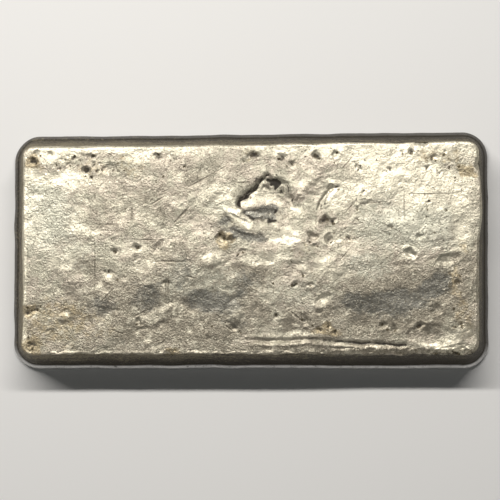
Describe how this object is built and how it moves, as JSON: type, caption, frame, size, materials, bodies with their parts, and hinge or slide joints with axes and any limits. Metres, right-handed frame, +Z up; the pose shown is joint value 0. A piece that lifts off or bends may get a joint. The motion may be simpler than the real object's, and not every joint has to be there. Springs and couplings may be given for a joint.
{
  "type": "metal ingot",
  "caption": "Poured silver bar with drafted sides, a rounded face edge and a foot bead: raw stock to store, stack or melt.",
  "frame": {"origin": "middle of the underside", "axes": "+X along the bar's length, +Z up out of the face"},
  "size_m": [0.116, 0.0574, 0.016],
  "materials": {
    "silver": "cast silver, scuffed and tarnished, with a darker patina on the sides"
  },
  "bodies": {
    "root": {"ingot": "silver"}
  },
  "joints": []
}
